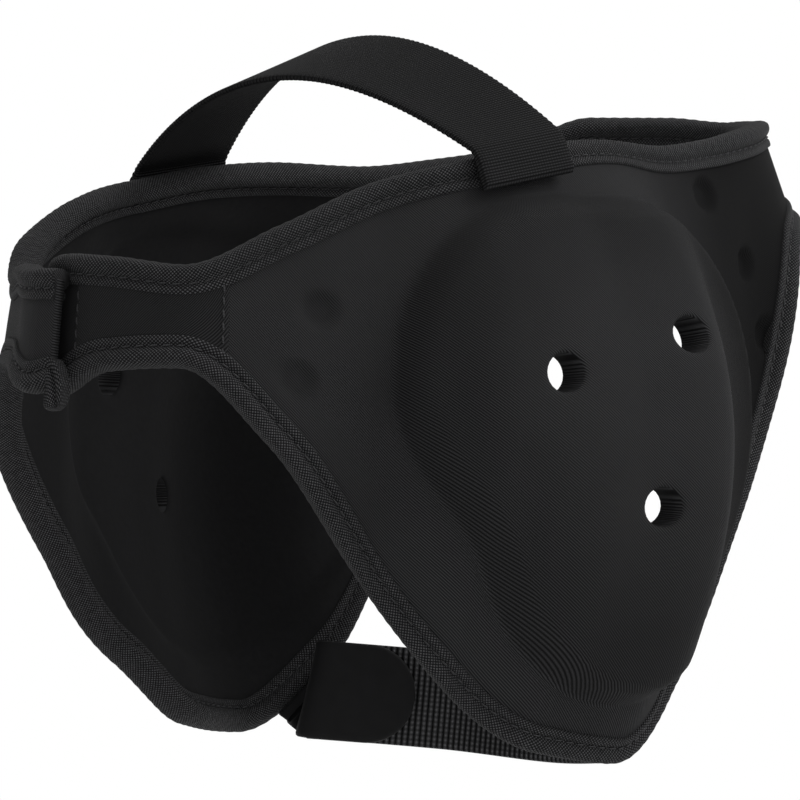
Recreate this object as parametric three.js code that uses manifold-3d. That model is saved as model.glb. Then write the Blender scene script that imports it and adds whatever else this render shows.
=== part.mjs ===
// Soft-shell wrestling ear guard: one padded band round the head with two domed ear lobes,
// knit binding round its edges, an elastic strap over the crown and a two-part chin strap.
// Millimetres, +Z up. The wearer faces -Y, so the right ear is at -X.
// The origin is where the crown strap rests on the head, under the middle of its arch.
import * as THREE from 'three';
import { mergeVertices } from 'three/addons/utils/BufferGeometryUtils.js';
import Module from 'manifold-3d';

const wasm = await Module();
wasm.setup();

// Driving dimensions
const HALF_LOOP = 272; // along the band from the middle of the back to the middle of the forehead
const LOBE_DROP = 150; // from the crown strap's seat down to a lobe's tip
const LOBE_BOW = 22; // how far a lobe bows outward between its top edge and its tip
const WALL = 4; // padded foam and its fabric
const PRESSED_WALL = 2.8; // the same wall where the arms lap and press flat
const GAP = 0.3; // between pieces that touch
const BINDING_GAP = 0.6; // under the binding, which follows a curved wall
const EDGE_GAP = 0.5; // between the foam's edge and the binding's roll

const DOME_RADIUS = 66; // largest reach of an ear dome from its middle
const DOME_STEP = 7; // height of the step round a dome's foot
const DOME_STEP_WIDTH = 13; // width of that step
const DOME_CROWN = 4; // further rise from the step to the middle
const DOME_FILL = 0.55; // share of a dome's rise that is solid foam, so that its inside is flatter
const HOLE_DIAMETER = 9.4;
const DIMPLE_DIAMETER = 10.6;
const DIMPLE_DEPTH = 1.5;

const BINDING_WIDTH = 5; // from the panel's edge to the binding's stitched hem
const BINDING_HEM = 1; // thickness at the hem
const BINDING_SIDE = 1.7; // thickness at the rolled side
const BINDING_ROLL = 2; // thickness over the panel's edge
const BINDING_ROUND = 1.5; // from the panel's edge to the fullest part of the rolled side
const LAP_INNER = 27; // the right arm's end past the middle of the back
const LAP_OUTER = 5; // the left arm's end past the middle of the back
const LAP_GAP = 0.8; // between the bindings of the lapping arms
const LAP_LOWER = 4; // how much lower the left arm's top edge sits at its end
const LAP_BLEND = 26; // length over which the right arm tucks in

const STRAP_WIDTH = 30;
const STRAP_THICKNESS = 1.6;
const STRAP_RISE = 22.7; // arch over the seats
const STRAP_HEM = 8; // sewn end, down the outside of the panel
const STRAP_SWEEP = 10.2; // how far the arch leans back between its ends
const STRAP_TILT = 25.4; // degrees, the arch's rear edge lower at the crown

const CHIN_WIDTH = 26;
const CHIN_TAB_THICKNESS = 1.8;
const CHIN_WEB_THICKNESS = 1.6;
const CHIN_REACH = 34; // how far the chin strap bows forward of its ends
const CHIN_SAG = 4; // how far it hangs below them
const CHIN_DIP = 5; // how far it drops as it leaves its ends
const CHIN_LEAVE = 8; // sewn stretch at each end
const CHIN_TURN = 0.12; // share of the bow over which it turns upright
const CHIN_CHEEK_OUT = 0.1; // share of an end's distance from the middle added at the cheek
const CHIN_CHEEK_FORWARD = 0.25; // share of CHIN_REACH added at the cheek
const CHIN_TAB_LENGTH = 41;
const CHIN_TAB_TIP = 0.05; // share of CHIN_WIDTH where the tab's round end is cut square
const CHIN_GAP = 0.5; // between tab and webbing
const CHIN_CLEAR = 2.5; // between the webbing's sewn end and the curved lobe's binding
const CHIN_LAP = 0.68; // share of the tab's length that laps over the webbing

const PATCH_THICKNESS = 0.9;
const PATCH_START = 8; // from the middle of the back
const PATCH_LENGTH = 36;
const PATCH_INSET = 1.4; // from the binding's hem

// Mesh fineness
const STEP = 6.8; // along the band
const ROWS = 13; // from the top edge to the bottom edge
const STRAP_STEPS = 26;
const CHIN_STEPS = 28;
const PATCH_STEPS = 8;
const PATCH_ROWS = 3;
const HOLE_SIDES = 16;
const DIMPLE_SIDES = 14;
const DIMPLE_RINGS = 3;

// The band's path from the middle of the back (along 0) to the middle of the forehead (along 1).
// along: share of HALF_LOOP. turnRight, turnLeft: degrees that the outward side has turned from
// straight back. leanRight, leanLeft: how far the wall moves outward over one drop, as a share of
// LOBE_DROP.
const PATH = [
  { along: 0.000, turnRight: 0, turnLeft: 0, leanRight: 0.071, leanLeft: 0.071 },
  { along: 0.061, turnRight: 48.7, turnLeft: 35.4, leanRight: 0.053, leanLeft: 0.037 },
  { along: 0.123, turnRight: 52, turnLeft: 37.5, leanRight: 0.052, leanLeft: 0.038 },
  { along: 0.205, turnRight: 59.8, turnLeft: 48.1, leanRight: -0.056, leanLeft: 0.033 },
  { along: 0.287, turnRight: 69.1, turnLeft: 63.8, leanRight: -0.090, leanLeft: -0.008 },
  { along: 0.369, turnRight: 84.3, turnLeft: 76.4, leanRight: -0.048, leanLeft: -0.035 },
  { along: 0.451, turnRight: 97.2, turnLeft: 83.7, leanRight: 0.055, leanLeft: 0.026 },
  { along: 0.532, turnRight: 97.7, turnLeft: 90.6, leanRight: 0.090, leanLeft: 0.091 },
  { along: 0.614, turnRight: 96.7, turnLeft: 97.6, leanRight: 0.040, leanLeft: 0.039 },
  { along: 0.693, turnRight: 99.7, turnLeft: 102.8, leanRight: 0.010, leanLeft: 0.105 },
  { along: 0.768, turnRight: 111.8, turnLeft: 113.7, leanRight: 0.072, leanLeft: 0.153 },
  { along: 0.845, turnRight: 128.2, turnLeft: 130, leanRight: 0.291, leanLeft: 0.228 },
  { along: 0.923, turnRight: 145.7, turnLeft: 148.9, leanRight: 0.374, leanLeft: 0.246 },
  { along: 1.000, turnRight: 180, turnLeft: 180, leanRight: 0.123, leanLeft: 0.123 },
];

// The band's bound edges, as shares of LOBE_DROP over the seat, and its bow, a share of LOBE_BOW.
const PROFILE = [
  { along: 0.000, topRight: -0.240, topLeft: -0.240, bottom: -0.464, bow: 0.04 },
  { along: 0.061, topRight: -0.246, topLeft: -0.246, bottom: -0.426, bow: 0.10 },
  { along: 0.123, topRight: -0.258, topLeft: -0.258, bottom: -0.419, bow: 0.25 },
  { along: 0.205, topRight: -0.190, topLeft: -0.190, bottom: -0.538, bow: 0.50 },
  { along: 0.287, topRight: -0.114, topLeft: -0.114, bottom: -0.730, bow: 0.59 },
  { along: 0.369, topRight: -0.072, topLeft: -0.072, bottom: -0.901, bow: 1.07 },
  { along: 0.451, topRight: -0.035, topLeft: -0.035, bottom: -0.999, bow: 1.01 },
  { along: 0.532, topRight: -0.017, topLeft: -0.017, bottom: -1.014, bow: 1.29 },
  { along: 0.614, topRight: -0.010, topLeft: -0.010, bottom: -0.894, bow: 0.70 },
  { along: 0.693, topRight: 0.014, topLeft: 0.014, bottom: -0.655, bow: 0.47 },
  { along: 0.768, topRight: 0.046, topLeft: 0.046, bottom: -0.454, bow: 0.12 },
  { along: 0.845, topRight: 0.072, topLeft: 0.102, bottom: -0.143, bow: 0.08 },
  { along: 0.923, topRight: 0.084, topLeft: 0.104, bottom: -0.097, bow: 0.03 },
  { along: 1.000, topRight: 0.094, topLeft: 0.094, bottom: -0.070, bow: 0.01 },
];

// Dome outline: reach from the dome's middle as a share of DOME_RADIUS, in even steps of angle
// from the front (0 degrees) over the top, the rear and the bottom.
const DOME_MIDDLE = { along: 0.491, drop: -0.435 };
const DOME_REACH = [0.90, 0.87, 0.74, 0.84, 0.80, 0.78, 1.11, 0.92];

// Vent holes through a dome and dimples in the panel round it, along and drop as above.
const HOLES = [
  { along: 0.401, drop: -0.405 },
  { along: 0.514, drop: -0.335 },
  { along: 0.482, drop: -0.605 },
];
const DIMPLES = [
  { along: 0.237, drop: -0.321 },
  { along: 0.220, drop: -0.430 },
  { along: 0.678, drop: -0.082 },
  { along: 0.744, drop: -0.189 },
  { along: 0.775, drop: -0.304 },
];

const RIGHT = -1;
const LEFT = 1;
const SEAT_ALONG = { [RIGHT]: 0.409, [LEFT]: 0.429 }; // middles of the crown strap's sewn ends
const CHIN_ALONG = 0.595; // middle of the chin strap's sewn end

const FABRIC = { color: 0x18191b, roughness: 0.9, metalness: 0 };
const KNIT = { color: 0x202124, roughness: 0.95, metalness: 0 };
const ELASTIC = { color: 0x1b1c1e, roughness: 0.9, metalness: 0 };

// Monotone cubic interpolation of one column of a table. An even column is level at its ends,
// where it meets its mirror image.
function slopes(xs, ys, even) {
  const n = xs.length;
  const h = xs.slice(1).map((x, i) => x - xs[i]);
  const d = h.map((step, i) => (ys[i + 1] - ys[i]) / step);
  const m = new Array(n).fill(0);
  m[0] = even ? 0 : d[0];
  m[n - 1] = even ? 0 : d[n - 2];
  for (let i = 1; i < n - 1; i += 1) {
    if (d[i - 1] * d[i] > 0) {
      const w1 = 2 * h[i] + h[i - 1];
      const w2 = h[i] + 2 * h[i - 1];
      m[i] = (w1 + w2) / (w1 / d[i - 1] + w2 / d[i]);
    }
  }
  return m;
}

function column(table, name, even = false) {
  const xs = table.map((row) => row.along);
  const ys = table.map((row) => row[name]);
  const m = slopes(xs, ys, even);
  return (x) => {
    let i = xs.findIndex((limit) => x < limit) - 1;
    if (i < 0) i = x < xs[0] ? 0 : xs.length - 2;
    const h = xs[i + 1] - xs[i];
    const t = THREE.MathUtils.clamp((x - xs[i]) / h, 0, 1);
    const a = (1 + 2 * t) * (1 - t) ** 2;
    const b = t * (1 - t) ** 2;
    const c = t * t * (3 - 2 * t);
    const e = t * t * (t - 1);
    return a * ys[i] + b * h * m[i] + c * ys[i + 1] + e * h * m[i + 1];
  };
}

const bandBottom = column(PROFILE, 'bottom', true);
const bandBow = column(PROFILE, 'bow', true);

// One side's plan curve: the turn integrated along the band, then closed on the middle plane.
const PLAN_STEPS = 240;

function planCurve(turn) {
  const ds = HALF_LOOP / PLAN_STEPS;
  const points = [new THREE.Vector2(0, 0)];
  for (let i = 0; i < PLAN_STEPS; i += 1) {
    const angle = THREE.MathUtils.degToRad(turn((i + 0.5) / PLAN_STEPS));
    const last = points[i];
    points.push(new THREE.Vector2(last.x + ds * Math.cos(angle), last.y - ds * Math.sin(angle)));
  }
  const stray = points[PLAN_STEPS].x;
  points.forEach((point, i) => { point.x -= (stray * i) / PLAN_STEPS; });
  return points;
}

const TURN = { [RIGHT]: column(PATH, 'turnRight'), [LEFT]: column(PATH, 'turnLeft') };
const TOP = {
  [RIGHT]: column(PROFILE, 'topRight', true),
  [LEFT]: column(PROFILE, 'topLeft', true),
};
const LEAN = { [RIGHT]: column(PATH, 'leanRight'), [LEFT]: column(PATH, 'leanLeft') };
const PLAN = { [RIGHT]: planCurve(TURN[RIGHT]), [LEFT]: planCurve(TURN[LEFT]) };
const DEPTH = -(PLAN[RIGHT][PLAN_STEPS].y + PLAN[LEFT][PLAN_STEPS].y) / 2;

function planPoint(side, along) {
  const place = THREE.MathUtils.clamp(along, 0, 1) * PLAN_STEPS;
  const i = Math.min(Math.floor(place), PLAN_STEPS - 1);
  const point = PLAN[side][i].clone().lerp(PLAN[side][i + 1], place - i);
  const stretch = -DEPTH / PLAN[side][PLAN_STEPS].y;
  return { x: side * point.x, y: DEPTH / 2 + point.y * stretch };
}

// Ear dome: a soft step round the outline and a low crown inside it.
function domeReach(angle) {
  const n = DOME_REACH.length;
  const place = ((angle / (2 * Math.PI) + 1) % 1) * n;
  const i = Math.floor(place);
  const t = place - i;
  const [a, b, c, d] = [-1, 0, 1, 2].map((k) => DOME_REACH[(i + k + n) % n]);
  const bend = (2 * a - 5 * b + 4 * c - d) * t * t + (3 * b - a - 3 * c + d) * t * t * t;
  return DOME_RADIUS * 0.5 * (2 * b + (c - a) * t + bend);
}

function domeRise(along, height) {
  const dx = (along - DOME_MIDDLE.along) * HALF_LOOP;
  const dz = height - DOME_MIDDLE.drop * LOBE_DROP;
  const reach = domeReach(Math.atan2(dz, dx));
  const share = Math.hypot(dx, dz) / reach;
  if (share >= 1) return 0;
  const step = THREE.MathUtils.smootherstep((1 - share) * reach, 0, DOME_STEP_WIDTH);
  return DOME_STEP * step + DOME_CROWN * (1 - share * share) ** 2;
}

// A place on the loop: g runs from the right arm's end (below -1) through the forehead (0) to
// the left arm's end (above 1). Past the middle of the back an arm follows the other side.
function loopPlace(g) {
  const arm = g < 0 ? RIGHT : LEFT;
  const past = Math.abs(g) > 1;
  const along = past ? Math.abs(g) - 1 : 1 - Math.abs(g);
  return { arm, side: past ? -arm : arm, along, past };
}

// 0 on the free band and 1 where the arms lap.
function lapShare(place) {
  const fromBack = (place.past ? -1 : 1) * place.along * HALF_LOOP;
  return 1 - THREE.MathUtils.smoothstep(fromBack, 0, LAP_BLEND);
}

function wallAt(g) {
  return THREE.MathUtils.lerp(WALL, PRESSED_WALL, lapShare(loopPlace(g)));
}

// Share of its full thickness that a binding keeps at a place on the loop.
function pressAt(g) {
  return (wallAt(g) / 2 + BINDING_GAP) / (WALL / 2 + BINDING_GAP);
}

// The right arm tucks inside the left one, clear of its binding.
const TUCK = PRESSED_WALL + 2 * (BINDING_GAP + BINDING_SIDE * pressAt(1)) + LAP_GAP;

function tuck(place) {
  return place.arm === LEFT ? 0 : -lapShare(place) * TUCK;
}

// Middle of the wall at a place on the loop and a height over the strap's seats. fill is the share
// of a dome's rise that is left out, 0 for the outer side.
function wallPoint(g, height, fill = 0) {
  const place = loopPlace(g);
  const plan = planPoint(place.side, place.along);
  const turn = THREE.MathUtils.degToRad(TURN[place.side](place.along));
  const drop = -height / LOBE_DROP;
  const bow = 4 * drop * (1 - drop) * LOBE_BOW * bandBow(place.along);
  const lean = LEAN[place.side](place.along) * LOBE_DROP * drop;
  const rise = domeRise(place.along, height) * (1 - fill);
  const out = lean + bow + rise + tuck(place) - WALL / 2;
  const x = plan.x + place.side * Math.sin(turn) * out;
  return new THREE.Vector3(x, plan.y + Math.cos(turn) * out, height);
}

// The wall's two tangents and its outward side, from points close by.
function wallFrame(g, height, fill = 0) {
  const near = 0.5;
  const dg = near / HALF_LOOP;
  const at = (along, up) => wallPoint(g + along * dg, height + up * near, fill);
  const alongTangent = at(1, 0).sub(at(-1, 0)).divideScalar(2 * near);
  const upTangent = at(0, 1).sub(at(0, -1)).divideScalar(2 * near);
  const outward = alongTangent.clone().cross(upTangent).normalize();
  return { alongTangent, upTangent, outward };
}

function wallFace(g, height, offset, fill = 0) {
  const { outward } = wallFrame(g, height, fill);
  return wallPoint(g, height, fill).addScaledVector(outward, offset);
}

// Heights of the foam's own edges, inside the binding's roll.
function foamTop(g) {
  const place = loopPlace(g);
  const lower = place.arm === LEFT ? lapShare(place) * LAP_LOWER : 0;
  return TOP[place.side](place.along) * LOBE_DROP - lower - BINDING_ROLL - EDGE_GAP;
}

function foamBottom(g) {
  return bandBottom(loopPlace(g).along) * LOBE_DROP + BINDING_ROLL + EDGE_GAP;
}

const ARM_RIGHT = -1 - LAP_INNER / HALF_LOOP;
const ARM_LEFT = 1 + LAP_OUTER / HALF_LOOP;

function evenSteps(start, end, count) {
  return Array.from({ length: count + 1 }, (_, i) => start + ((end - start) * i) / count);
}

// A closed solid through sections, each a row of outer points facing a row of inner points.
function bandSolid(sections) {
  const width = sections[0].outer.length;
  const loop = 2 * width;
  const positions = [];
  sections.forEach(({ outer, inner }) => {
    [...outer, ...[...inner].reverse()].forEach((p) => positions.push(p.x, p.y, p.z));
  });
  const index = [];
  const quad = (a, b, c, d) => index.push(a, b, c, a, c, d);
  for (let s = 0; s < sections.length - 1; s += 1) {
    for (let i = 0; i < loop; i += 1) {
      const j = (i + 1) % loop;
      quad(s * loop + i, s * loop + j, (s + 1) * loop + j, (s + 1) * loop + i);
    }
  }
  const end = (sections.length - 1) * loop;
  for (let i = 0; i < width - 1; i += 1) {
    const k = loop - 1 - i;
    quad(k, k - 1, i + 1, i);
    quad(end + i, end + i + 1, end + k - 1, end + k);
  }
  const geometry = new THREE.BufferGeometry();
  geometry.setAttribute('position', new THREE.Float32BufferAttribute(positions, 3));
  geometry.setIndex(index);
  return facingOut(geometry);
}

function signedVolume(geometry) {
  const at = geometry.attributes.position;
  const [a, b, c] = [0, 1, 2].map(() => new THREE.Vector3());
  let sum = 0;
  for (let i = 0; i < geometry.index.count; i += 3) {
    a.fromBufferAttribute(at, geometry.index.getX(i));
    b.fromBufferAttribute(at, geometry.index.getX(i + 1));
    c.fromBufferAttribute(at, geometry.index.getX(i + 2));
    sum += a.dot(b.cross(c)) / 6;
  }
  return sum;
}

function facingOut(geometry) {
  if (signedVolume(geometry) < 0) {
    geometry.setIndex(Array.from(geometry.index.array).reverse());
  }
  return geometry;
}

function toManifold(geometry) {
  const bare = geometry.clone();
  bare.deleteAttribute('normal');
  bare.deleteAttribute('uv');
  const merged = mergeVertices(bare);
  return new wasm.Manifold(new wasm.Mesh({
    numProp: 3,
    vertProperties: Float32Array.from(merged.attributes.position.array),
    triVerts: Uint32Array.from(merged.index.array),
  }));
}

function fromManifold(solid) {
  const mesh = solid.getMesh();
  const geometry = new THREE.BufferGeometry();
  geometry.setAttribute('position', new THREE.BufferAttribute(mesh.vertProperties, 3));
  geometry.setIndex(new THREE.BufferAttribute(mesh.triVerts, 1));
  return geometry;
}

// Turns and moves a cutter made along +Y so that it points out of the wall under a dome.
function aimAtWall(geometry, g, height, offset) {
  const { outward } = wallFrame(g, height, 1);
  const turn = new THREE.Quaternion().setFromUnitVectors(new THREE.Vector3(0, 1, 0), outward);
  const at = wallFace(g, height, offset);
  return geometry.applyMatrix4(new THREE.Matrix4().compose(at, turn, new THREE.Vector3(1, 1, 1)));
}

function holeCutter(g, height) {
  const radius = HOLE_DIAMETER / 2;
  const through = 2 * (WALL + DOME_STEP + DOME_CROWN);
  const cylinder = new THREE.CylinderGeometry(radius, radius, through, HOLE_SIDES);
  return aimAtWall(cylinder, g, height, 0);
}

function dimpleCutter(g, height) {
  const r = DIMPLE_DIAMETER / 2;
  const ring = (r * r + DIMPLE_DEPTH * DIMPLE_DEPTH) / (2 * DIMPLE_DEPTH);
  const profile = evenSteps(0, 1, DIMPLE_RINGS).map((t) => {
    const x = r * t;
    return new THREE.Vector2(x, ring - DIMPLE_DEPTH - Math.sqrt(ring * ring - x * x));
  });
  profile.push(new THREE.Vector2(r + DIMPLE_DEPTH, DIMPLE_DEPTH * 1.5));
  profile.push(new THREE.Vector2(0, DIMPLE_DEPTH * 1.5));
  return aimAtWall(new THREE.LatheGeometry(profile, DIMPLE_SIDES), g, height, WALL / 2);
}

// The padded shell: sections across the band, then holes and dimples on both sides.
function shellSection(g) {
  const half = wallAt(g) / 2;
  const heights = evenSteps(foamTop(g), foamBottom(g), ROWS);
  return {
    outer: heights.map((height) => wallFace(g, height, half)),
    inner: heights.map((height) => wallFace(g, height, -half, DOME_FILL)),
  };
}

function paddedShell() {
  const count = Math.ceil(((ARM_LEFT - ARM_RIGHT) * HALF_LOOP) / STEP);
  let solid = toManifold(bandSolid(evenSteps(ARM_RIGHT, ARM_LEFT, count).map(shellSection)));
  [RIGHT, LEFT].forEach((side) => {
    const cutters = [
      ...HOLES.map(({ along, drop }) => holeCutter(side * (1 - along), drop * LOBE_DROP)),
      ...DIMPLES.map(({ along, drop }) => dimpleCutter(side * (1 - along), drop * LOBE_DROP)),
    ];
    cutters.forEach((cutter) => { solid = solid.subtract(toManifold(cutter)); });
  });
  return fromManifold(solid);
}

// Directions on the wall at one edge: inward along the wall, as steps of g and height per mm.
function edgeFrame(g, edge) {
  const dg = 1 / HALF_LOOP;
  const at = (k) => wallPoint(g + k * dg, edge(g + k * dg));
  const forward = at(1).sub(at(-1)).normalize();
  const { alongTangent, upTangent, outward } = wallFrame(g, edge(g));
  const inward = outward.clone().cross(forward).normalize();
  if (edge === foamTop) inward.negate();
  const aa = alongTangent.dot(alongTangent);
  const ab = alongTangent.dot(upTangent);
  const bb = upTangent.dot(upTangent);
  const ia = inward.dot(alongTangent);
  const ib = inward.dot(upTangent);
  const det = aa * bb - ab * ab;
  return {
    inward,
    outward,
    perAlong: (ia * bb - ib * ab) / det / HALF_LOOP,
    perUp: (ib * aa - ia * ab) / det,
  };
}

// Binding section: a U over the foam's edge, thin at its two hems and thick at the rolled sides.
function bindingSection(g, edge) {
  const frame = edgeFrame(g, edge);
  const half = wallAt(g) / 2 + BINDING_GAP;
  const press = pressAt(g);
  const onWall = (depth, offset) => (
    wallFace(g + frame.perAlong * depth, edge(g) + frame.perUp * depth, offset)
  );
  const beyond = (roll, offset) => wallPoint(g, edge(g))
    .addScaledVector(frame.inward, -roll)
    .addScaledVector(frame.outward, offset);
  const hem = (face) => ({
    far: onWall(BINDING_WIDTH, face * (half + BINDING_HEM * press)),
    near: onWall(BINDING_WIDTH, face * half),
  });
  const side = (face) => ({
    far: onWall(BINDING_ROUND, face * (half + BINDING_SIDE * press)),
    near: beyond(EDGE_GAP, face * half),
  });
  const roll = { far: beyond(EDGE_GAP + BINDING_ROLL, 0), near: beyond(EDGE_GAP, 0) };
  const rows = [hem(1), side(1), roll, side(-1), hem(-1)];
  return { outer: rows.map((row) => row.far), inner: rows.map((row) => row.near) };
}

function binding(edge) {
  const count = Math.ceil(((ARM_LEFT - ARM_RIGHT) * HALF_LOOP) / STEP);
  return bandSolid(evenSteps(ARM_RIGHT, ARM_LEFT, count).map((g) => bindingSection(g, edge)));
}

// A flat strap's section round a middle point, with its width and its outward side given.
function strapSection(middle, across, outward, width, thickness) {
  const corner = (w, t) => middle.clone()
    .addScaledVector(across, w * width / 2)
    .addScaledVector(outward, t * thickness / 2);
  return {
    outer: [corner(-1, 1), corner(0, 1), corner(1, 1)],
    inner: [corner(-1, -1), corner(0, -1), corner(1, -1)],
  };
}

// Crown strap: a sewn end down the outside of each lobe and an arch between the top edges.
function seatPoint(side, depth) {
  const g = side * (1 - SEAT_ALONG[side]);
  const offset = WALL / 2 + BINDING_GAP + BINDING_HEM + GAP + STRAP_THICKNESS / 2;
  return wallFace(g, foamTop(g) - depth, offset);
}

function seatAcross(side) {
  const reach = STRAP_WIDTH / 2 / HALF_LOOP;
  const ends = [-reach, reach].map((step) => {
    const g = side * (1 - SEAT_ALONG[side] - step);
    return wallPoint(g, foamTop(g));
  });
  return ends[1].sub(ends[0]).normalize();
}

function crownStrap() {
  const seats = { [RIGHT]: seatPoint(RIGHT, 0), [LEFT]: seatPoint(LEFT, 0) };
  const between = seats[RIGHT].clone().add(seats[LEFT]).divideScalar(2).setX(0);
  const middles = evenSteps(-1, 1, STRAP_STEPS).map((t) => {
    const side = t < 0 ? RIGHT : LEFT;
    const arch = 1 - t * t;
    const rise = new THREE.Vector3(0, STRAP_SWEEP * arch, BINDING_ROLL + GAP + STRAP_RISE * arch);
    return { arch, side, point: between.clone().lerp(seats[side], Math.abs(t)).add(rise) };
  });
  const sections = middles.map(({ arch, side, point }, i) => {
    const across = seatAcross(side).lerp(crownAcross(), arch).normalize();
    const before = middles[Math.max(i - 1, 0)].point;
    const after = middles[Math.min(i + 1, middles.length - 1)].point;
    const outward = after.clone().sub(before).cross(across).normalize();
    if (outward.z < 0) outward.negate();
    return strapSection(point, across, outward, STRAP_WIDTH, STRAP_THICKNESS);
  });
  return bandSolid([strapEnd(RIGHT), ...sections, strapEnd(LEFT)]);
}

function crownAcross() {
  const tilt = THREE.MathUtils.degToRad(STRAP_TILT);
  return new THREE.Vector3(0, -Math.cos(tilt), Math.sin(tilt));
}

function strapEnd(side) {
  const g = side * (1 - SEAT_ALONG[side]);
  const { outward } = wallFrame(g, foamTop(g));
  const middle = seatPoint(side, STRAP_HEM);
  return strapSection(middle, seatAcross(side), outward, STRAP_WIDTH, STRAP_THICKNESS);
}

// Loop patch on the outside of the right arm, between its bindings.
function patchSection(g) {
  const inset = BINDING_WIDTH + PATCH_INSET;
  const base = wallAt(g) / 2 + GAP;
  const heights = evenSteps(foamTop(g) - inset, foamBottom(g) + inset, PATCH_ROWS);
  return {
    outer: heights.map((height) => wallFace(g, height, base + PATCH_THICKNESS)),
    inner: heights.map((height) => wallFace(g, height, base)),
  };
}

function closurePatch() {
  const start = -1 + PATCH_START / HALF_LOOP;
  const end = start + PATCH_LENGTH / HALF_LOOP;
  return bandSolid(evenSteps(start, end, PATCH_STEPS).map(patchSection));
}

// Chin strap: both halves follow one bow from lobe to lobe, in front of the throat. The tab
// leaves the left lobe's bound edge, and the webbing is sewn flat inside the right lobe.
function chinFrame(side) {
  const g = side * (1 - CHIN_ALONG);
  const { inward, outward } = edgeFrame(g, foamBottom);
  const out = inward.clone().negate();
  const across = outward.clone().cross(out).normalize();
  if (across.z < 0) across.negate();
  const edge = wallPoint(g, foamBottom(g));
  const at = (beyond, aside) => edge.clone()
    .addScaledVector(out, beyond)
    .addScaledVector(outward, aside);
  return { at, across };
}

const CHIN_ENDS = [chinFrame(LEFT), chinFrame(RIGHT)];

const CHIN_BOW = (() => {
  const [left, right] = CHIN_ENDS;
  const roll = BINDING_ROLL + 3 * GAP;
  const flat = WALL / 2 + BINDING_GAP + BINDING_SIDE + CHIN_CLEAR + CHIN_WEB_THICKNESS;
  const tabEnd = [
    left.at(roll, 0),
    left.at(roll + CHIN_LEAVE / 2, -CHIN_LEAVE / 4),
    left.at(roll, -CHIN_LEAVE * 1.5),
  ];
  const webEnd = [
    right.at(-CHIN_LEAVE, -flat),
    right.at(-CHIN_LEAVE / 4, -flat),
    right.at(0, -CHIN_LEAVE * 1.5),
  ];
  [tabEnd, webEnd].forEach((end) => { end[2].z -= CHIN_DIP; });
  const front = tabEnd[2].clone().add(webEnd[2]).divideScalar(2);
  front.add(new THREE.Vector3(0, -CHIN_REACH, -CHIN_SAG));
  const cheek = (end) => end.clone()
    .lerp(front, 0.5)
    .add(new THREE.Vector3(end.x * CHIN_CHEEK_OUT, -CHIN_REACH * CHIN_CHEEK_FORWARD, 0));
  const points = [...tabEnd, cheek(tabEnd[2]), front, cheek(webEnd[2]), ...webEnd.reverse()];
  return new THREE.CatmullRomCurve3(points, false, 'centripetal');
})();

// Width direction at a share of the bow: along the lobe's edge at an end, upright between them.
function chinAcross(u) {
  const [left, right] = CHIN_ENDS;
  const end = u < 0.5 ? left : right;
  const upright = THREE.MathUtils.smoothstep(Math.min(u, 1 - u), 0, CHIN_TURN);
  return end.across.clone().lerp(new THREE.Vector3(0, 0, 1), upright).normalize();
}

// The tab lies on the wearer's side of the bow, and the webbing on the outer side.
function chinStrap(from, to, offset, thickness, widthAt) {
  const length = CHIN_BOW.getLength();
  return bandSolid(evenSteps(from / length, to / length, CHIN_STEPS).map((u) => {
    const across = chinAcross(u);
    const inward = CHIN_BOW.getTangentAt(u).cross(across).normalize();
    const middle = CHIN_BOW.getPointAt(u).addScaledVector(inward, offset);
    return strapSection(middle, across, inward, widthAt(u * length), thickness);
  }));
}

// The tab's free end is rounded.
function tabWidth(at) {
  const left = Math.max(CHIN_TAB_LENGTH - at, 0) + CHIN_WIDTH * CHIN_TAB_TIP;
  const round = CHIN_WIDTH / 2;
  if (left >= round) return CHIN_WIDTH;
  return CHIN_WIDTH * Math.sqrt(1 - (1 - left / round) ** 2);
}

function chinTab() {
  const offset = (CHIN_TAB_THICKNESS + CHIN_GAP) / 2;
  return chinStrap(0, CHIN_TAB_LENGTH, offset, CHIN_TAB_THICKNESS, tabWidth);
}

function chinWebbing() {
  const start = CHIN_TAB_LENGTH * (1 - CHIN_LAP);
  const offset = -(CHIN_WEB_THICKNESS + CHIN_GAP) / 2;
  return chinStrap(start, CHIN_BOW.getLength(), offset, CHIN_WEB_THICKNESS, () => CHIN_WIDTH);
}

function piece(name, geometry, look) {
  const mesh = new THREE.Mesh(geometry, new THREE.MeshStandardMaterial(look));
  mesh.name = name;
  return mesh;
}

const earGuard = new THREE.Group();
earGuard.add(
  piece('padded_shell', paddedShell(), FABRIC),
  piece('top_binding', binding(foamTop), KNIT),
  piece('bottom_binding', binding(foamBottom), KNIT),
  piece('crown_strap', crownStrap(), ELASTIC),
  piece('closure_patch', closurePatch(), FABRIC),
  piece('chin_tab', chinTab(), FABRIC),
  piece('chin_webbing', chinWebbing(), ELASTIC),
);

// The whole guard is moved so that the crown strap's underside is at the origin.
const seat = seatPoint(RIGHT, 0).add(seatPoint(LEFT, 0)).divideScalar(2);
const crownHeight = seat.z + BINDING_ROLL + GAP + STRAP_RISE - STRAP_THICKNESS / 2;
earGuard.position.set(0, -(seat.y + STRAP_SWEEP), -crownHeight);

export default earGuard;
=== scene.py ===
"""Looks of the soft-shell ear guard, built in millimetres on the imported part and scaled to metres."""

import math

import bmesh
import bpy
import numpy as np
from mathutils import Matrix, Vector

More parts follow.
